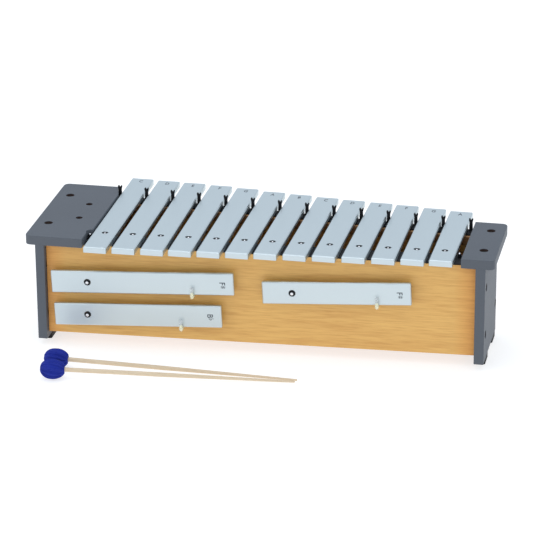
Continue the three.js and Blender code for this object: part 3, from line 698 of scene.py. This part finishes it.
# ---------------------------------------------------------------- end boards, drawn flat and stood up
# drawn with X along the board's depth and Y up; thickness along Z becomes the X direction
for side in ("left", "right"):
    front, rear = BOARD_SPAN[side]
    inner = INNER_L if side == "left" else INNER_R
    holes = []
    for end, z in BOARD_SCREWS:
        y = front_line(inner, WALL_T / 2) if end == "front" else rear_line(inner, REAR_WALL_MIDDLE)
        holes.append((y, z))
    bm = bmesh.new()
    thick = BOARD_T[side] - GAP
    outline = ([(front, PLATE_BOTTOM - 0.02)] + arc(front + 1.0, BOARD_FOOT + 1.0, 1.0, 180, 270, 3)
               + arc(rear - 1.0, BOARD_FOOT + 1.0, 1.0, 270, 360, 3) + [(rear, PLATE_BOTTOM - 0.02)])
    prism(bm, [outline] + [circle(y, z, COUNTERBORE_R, 40) for y, z in holes],
          0, thick, 1.0, 0.8, 3, False, 0.5)
    for v in bm.verts:
        if v.co.y > PLATE_BOTTOM - 1.3:
            v.co.y = PLATE_BOTTOM - 0.02
    if side == "right":
        stand = Matrix(((0, 0, 1, INNER_R + GAP), (1, 0, 0, 0), (0, 1, 0, 0), (0, 0, 0, 1)))
    else:
        stand = Matrix(((0, 0, -1, INNER_L - GAP), (1, 0, 0, 0), (0, 1, 0, 0), (0, 0, 0, 1)))
    finish_mesh(bm, side + "_board_visual", GREY, "sound_box", (side + "_end_board",),
                30.0, stand)
    bm = bmesh.new()
    for y, z in holes:
        bore_lining(bm, COUNTERBORE_R, 2.4, thick - BOARD_BORE_DEPTH, thick - 0.7, lift(y, z))
    finish_mesh(bm, side + "_board_bores", RAW_WOOD_SHADE, "sound_box", (), 30.0, stand)
    x0 = LEFT_X if side == "left" else RIGHT_X
    for end, y in (("front", front + FRONT_FOOT_IN), ("rear", rear - REAR_FOOT_IN - FOOT_LENGTH)):
        bm = bmesh.new()
        prism(bm, [rounded_rect(x0 + FOOT_INSET, y, x0 + BOARD_T[side] - FOOT_INSET, y + FOOT_LENGTH, 3, 5)],
              0, BOARD_FOOT - GAP, 0.5, 1.2, 3)
        node = f"{side}_{end}_foot"
        finish_mesh(bm, node + "_visual", BLACK, "sound_box", (node,), 35.0)


# ---------------------------------------------------------------- cushions, sleeves and forked posts
def strip_loop(line, near, far, xa, xb):
    return [(xa, line(xa, near)), (xb, line(xb, near)), (xb, line(xb, far)), (xa, line(xa, far))]


cushion_a, cushion_b = NOTCH_X + 0.5, RIGHT_PLATE[0] - 1.5
bm = bmesh.new()
xl = LEFT_PLATE[1] + 0.5
outline = [(cushion_a, front_line(cushion_a, 0.4)), (cushion_b, front_line(cushion_b, 0.4)),
           (cushion_b, front_line(cushion_b, 37.5)), (xl, front_line(xl, 37.5)),
           (xl, NOTCH_Y + NOTCH_R - 0.6)]
outline += arc(LEFT_PLATE[1], NOTCH_Y, NOTCH_R - 0.4, 98, 212, 10) + [(cushion_a, 50.5)]
prism(bm, [outline], BOX_TOP + GAP, BAR_BOTTOM - GAP, 0.6, 0.0, 2)
finish_mesh(bm, "front_cushion_visual", BLACK, "sound_box", ("front_cushion",), 35.0)

places = [(x, pin_y(x) - GUIDE_FORWARD, GUIDE_R, GUIDE_SLEEVE_TOP, GUIDE_TOP) for x in GUIDES]
places += [(x, pin_y(x), SLEEVE_R, SLEEVE_TOP, PIN_TOP) for x in BAR_X]
bm = bmesh.new()
for x, y, radius, top, pin_top in places:
    lathe(bm, fillet([(PIN_R + 0.1, BOX_TOP + 0.6), (radius, BOX_TOP + 0.6), (radius, top),
                      (PIN_R + 0.4, top), (PIN_R + 0.1, top - 0.3)], 0.6), 36, lift(x, y))
finish_mesh(bm, "pin_sleeves", BLACK, "sound_box", (), 30.0)

bm = bmesh.new()
loop = strip_loop(rear_line, -19.5, 4.0, cushion_a, cushion_b)
prism(bm, [loop[:2] + [(cushion_b, rear_line(cushion_b, 4.0)), (-25.2, 251.6), (-23.8, 247), (-20.8, 240.5),
                      (xl + 0.2, 234), (xl + 0.2, rear_line(xl, -19.5))]],
      BOX_TOP + GAP, BAR_BOTTOM - GAP, 0.6, 0.0, 2)
for x in POSTS:
    y = rear_line(x)
    # front view of a post: round foot, stem, flaring head with a V cut in its top
    half, neck = 3.25, 2.4
    shape = [(-2.8, BOX_TOP + 1.0), (2.8, BOX_TOP + 1.0), (2.7, BOX_TOP + 8.0), (neck, BOX_TOP + 12.5),
             (neck, POST_TOP - 6.2), (half, POST_TOP - 2.6), (half, POST_TOP - 0.5), (half - 0.4, POST_TOP),
             (half - 1.7, POST_TOP - 0.1), (0.3, POST_TOP - 2.3), (-0.3, POST_TOP - 2.3),
             (-half + 1.7, POST_TOP - 0.1), (-half + 0.4, POST_TOP), (-half, POST_TOP - 0.5),
             (-half, POST_TOP - 2.6), (-neck, POST_TOP - 6.2), (-neck, BOX_TOP + 12.5), (-2.7, BOX_TOP + 8.0)]
    post = bmesh.new()
    prism(post, [shape], -2.1, 2.1, 0.45, 0.45, 3)
    bmesh.ops.transform(post, matrix=lift(x, y) @ Matrix.Rotation(math.pi / 2, 4, "X"), verts=post.verts)
    spare = bpy.data.meshes.new("post")
    post.to_mesh(spare)
    post.free()
    bm.from_mesh(spare)
    bpy.data.meshes.remove(spare)
finish_mesh(bm, "rear_posts", BLACK, "sound_box", ("rear_post_strip",), 35.0)

bm = bmesh.new()
for x, y, radius, top, pin_top in places:
    lathe(bm, fillet([(0, BOX_TOP - 8), (PIN_R, BOX_TOP - 8), (PIN_R, pin_top - 1.1), (0, pin_top)], 1.2), 28,
          lift(x, y))
finish_mesh(bm, "bar_pins", CHROME, "sound_box", ("pin_strip",), 30.0)


# ---------------------------------------------------------------- mallets
def head_radius(t):
    """Radius of the wound head at t mm from its middle, crown negative, neck positive."""
    if t < 0:
        s = -t / HEAD_HALF
        return HEAD_R * (1 - s ** 2.3) ** 0.5 if s < 1 else 0.0
    s = t / HEAD_HALF
    neck = STICK_R + 0.5
    return STICK_R + 0.5 + (HEAD_R - STICK_R - 0.5) * max(0.0, 1 - s ** 2.1) ** 0.62 if s < 1 else neck


random.seed(11)
for name, head, tip in MALLETS:
    run = math.hypot(tip[0] - head[0], tip[1] - head[1])
    drop = HEAD_R - TIP_R
    end = math.hypot(run, drop)
    place = (lift(head[0], head[1], HEAD_R + 0.05)
             @ Matrix.Rotation(math.atan2(tip[1] - head[1], tip[0] - head[0]), 4, "Z")
             @ Matrix.Rotation(math.atan2(drop, run), 4, "Y") @ Matrix.Rotation(math.pi / 2, 4, "Y"))
    bm = bmesh.new()
    lathe(bm, fillet([(0, -6), (STICK_R, -6), (STICK_R, end * 0.25), (STICK_R, end * TAPER_START),
                      (TIP_R, end - 1.5),
                      (TIP_R - 0.5, end - 0.3), (0, end)], 1.2, 4), 28)
    finish_mesh(bm, name + "_stick_visual", MAPLE, name, (name + "_stick",), 30.0, place)
    bm = bmesh.new()
    steps = 26
    body = [(0.0, -HEAD_HALF + 1.0)]
    for k in range(1, steps):
        t = -HEAD_HALF + 2 * HEAD_HALF * k / steps
        body.append((max(head_radius(t) - 1.6, STICK_R + 0.1), t))
    body.append((STICK_R + 0.1, HEAD_HALF - 0.4))
    body.append((STICK_R + 0.1, 0.0))
    body.append((0.0, 0.0))
    lathe(bm, body, 40)
    # strands wound lengthwise over the crown, each a little off the one before
    strands = 32
    for s in range(strands):
        base = 2 * math.pi * s / strands + random.uniform(-0.05, 0.05)
        lean = random.uniform(-0.3, 0.3)
        swirl = 0.55 + random.uniform(-0.16, 0.16)
        points, widths = [], []
        lift_off = random.uniform(-0.7, 0.25)
        wobble = random.uniform(0, 6.28)
        for k in range(25):
            u = k / 24
            t = -HEAD_HALF + 0.9 + (2 * HEAD_HALF - 2.2) * (0.5 - 0.5 * math.cos(math.pi * u))
            angle = base + lean * math.sin(math.pi * u) + swirl * u + 0.03 * math.sin(9 * u + wobble)
            rise = lift_off * math.sin(math.pi * u) + 0.25 * math.sin(7 * u + wobble)
            radius = max(head_radius(t) - 1.35 + rise, 1.0)
            points.append(Vector((radius * math.cos(angle), radius * math.sin(angle), t)))
            widths.append(0.7 + 0.65 * math.sin(math.pi * u) + 0.08 * math.sin(13 * u + wobble))
        tube(bm, points, widths, 8)
    for v in bm.verts:
        reach = math.hypot(v.co.x, v.co.y)
        if reach > HEAD_R:
            v.co.x *= HEAD_R / reach
            v.co.y *= HEAD_R / reach
    finish_mesh(bm, name + "_head_visual", YARN, name, (name + "_yarn",), 60.0, place)

# ---------------------------------------------------------------- floor, light and camera
floor = Nodes("floor", Roughness=0.9, Emission_Strength=0.7)
floor.shader.inputs["Emission Color"].default_value = (1.0, 1.0, 1.0, 1.0)
floor.set("Base Color", floor.mix(floor.noise(3.0), rgba((0.42, 0.42, 0.42)), rgba((0.46, 0.46, 0.46))))
bm = bmesh.new()
bmesh.ops.create_grid(bm, x_segments=8, y_segments=8, size=8000)
ground = finish_mesh(bm, "floor", floor.material)

world = bpy.data.worlds.new("studio")
bpy.context.scene.world = world
world.use_nodes = True
world.node_tree.nodes["Background"].inputs["Color"].default_value = (0.80, 0.87, 0.96, 1.0)
world.node_tree.nodes["Background"].inputs["Strength"].default_value = 0.9


def area(name, place, target, size, power):
    light = bpy.data.lights.new(name, "AREA")
    light.shape = "RECTANGLE"
    light.size, light.size_y = size
    light.energy = power
    lamp = bpy.data.objects.new(name, light)
    bpy.context.scene.collection.objects.link(lamp)
    lamp.location = place
    lamp.rotation_mode = "QUATERNION"
    lamp.rotation_quaternion = (Vector(target) - Vector(place)).to_track_quat("-Z", "Y")
    return lamp


area("overhead", (-0.2, 0.1, 2.2), (0, 0, 0.1), (2.2, 1.6), 13)
area("front_left", (-2.2, -1.6, 1.6), (0, 0, 0.1), (1.4, 1.2), 6)
area("right_side", (2.2, -0.4, 0.9), (0.2, 0, 0.1), (1.2, 1.0), 0.4)

camera = bpy.data.cameras.new("camera")
camera.sensor_width = 36.0
camera.lens = 190.777
camera.clip_end = 60.0
eye = bpy.data.objects.new("camera", camera)
bpy.context.scene.collection.objects.link(eye)
eye.location = (0.840106, -3.964296, 1.758945)
eye.rotation_euler = (math.radians(68.05997), math.radians(0.40813), math.radians(11.76639))
bpy.context.scene.camera = eye
bpy.context.scene.view_settings.view_transform = "Standard"
bpy.context.scene.view_settings.look = "None"
